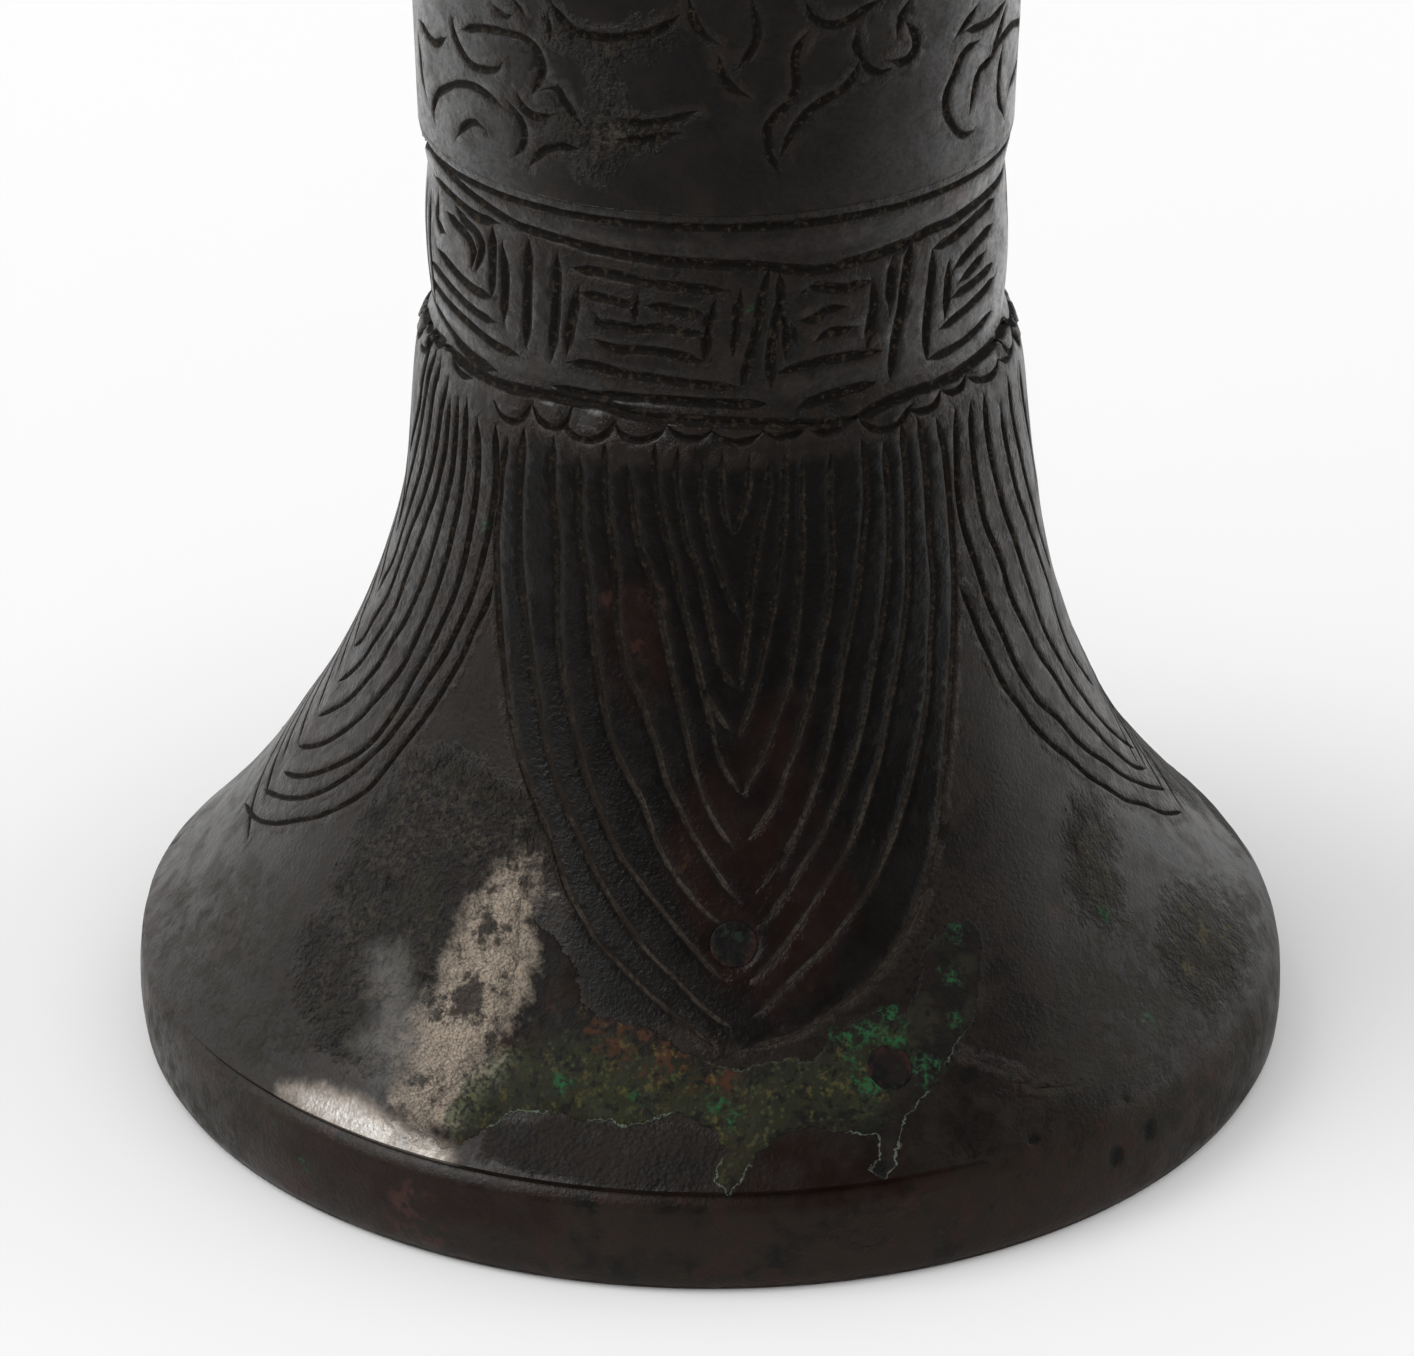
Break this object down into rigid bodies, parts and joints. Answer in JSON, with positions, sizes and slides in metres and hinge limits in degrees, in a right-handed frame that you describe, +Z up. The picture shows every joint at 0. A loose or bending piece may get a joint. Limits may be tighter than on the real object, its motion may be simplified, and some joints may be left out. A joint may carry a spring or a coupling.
{
  "type": "bronze gu vase",
  "caption": "Bronze gu vase with a spreading foot, a drum-shaped knop between key-fret collars, and a trumpet neck open at the mouth.",
  "frame": {"origin": "on the vase's axis, at the level that the foot stands on", "axes": "+Z up along the vase's axis from foot to mouth; -Y towards the side that the picture shows; +X to its right"},
  "size_m": [0.124, 0.124, 0.218],
  "materials": {
    "patinated_bronze": "satin brown-black patina with brown wear and green corrosion",
    "plug_bronze": "dull red-brown patina",
    "old_solder": "dull oxidised grey solder"
  },
  "bodies": {
    "root": {"foot": "patinated_bronze", "knop": "patinated_bronze", "neck": "patinated_bronze", "vessel_floor": "patinated_bronze", "floor_solder": "old_solder", "foot_joint_solder": "old_solder", "neck_joint_solder": "old_solder", "foot_pin_plug_1": "plug_bronze", "foot_pin_plug_2": "plug_bronze", "foot_pin_plug_3": "plug_bronze", "foot_pin_plug_4": "plug_bronze", "neck_pin_plug_1": "plug_bronze", "neck_pin_plug_2": "plug_bronze", "neck_pin_plug_3": "plug_bronze"}
  },
  "joints": []
}
